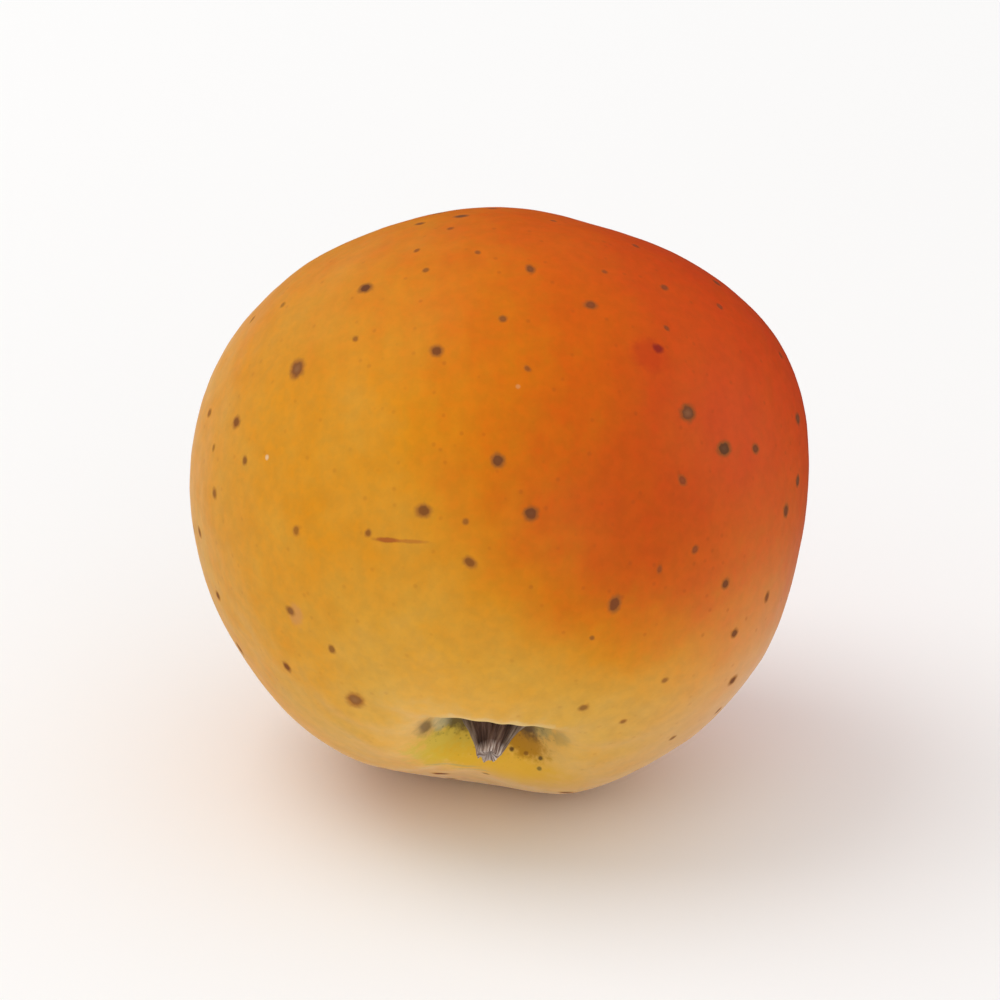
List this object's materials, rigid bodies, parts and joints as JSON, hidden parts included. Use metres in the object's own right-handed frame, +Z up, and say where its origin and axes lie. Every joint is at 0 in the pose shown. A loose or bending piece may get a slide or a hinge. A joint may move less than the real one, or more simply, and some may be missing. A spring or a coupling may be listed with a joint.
{
  "type": "tejocote",
  "caption": "Ripe tejocote lying on its side: a small roundish hawthorn fruit, yellow to orange with a red blush and dark specks, with a broken stalk at one end and dried sepals at the other.",
  "frame": {"origin": "on the surface that the fruit lies on, at the middle of the small patch of skin it rests on, below the fruit's own middle", "axes": "+Z up; the fruit's axis lies in the YZ plane, with the stalk end towards -Y and 35 degrees down and the sepal end towards +Y and 35 degrees up"},
  "size_m": [0.0358, 0.0339, 0.0345],
  "materials": {
    "fruit_skin": "satin",
    "stalk_bark": "matte",
    "dried_sepal": "matte",
    "dried_style": "matte"
  },
  "bodies": {
    "root": {"fruit_body": "fruit_skin", "stalk_stub": "stalk_bark", "sepal_1": "dried_sepal", "sepal_2": "dried_sepal", "sepal_3": "dried_sepal", "sepal_4": "dried_sepal", "sepal_5": "dried_sepal", "style_tuft": "dried_style"}
  },
  "joints": []
}
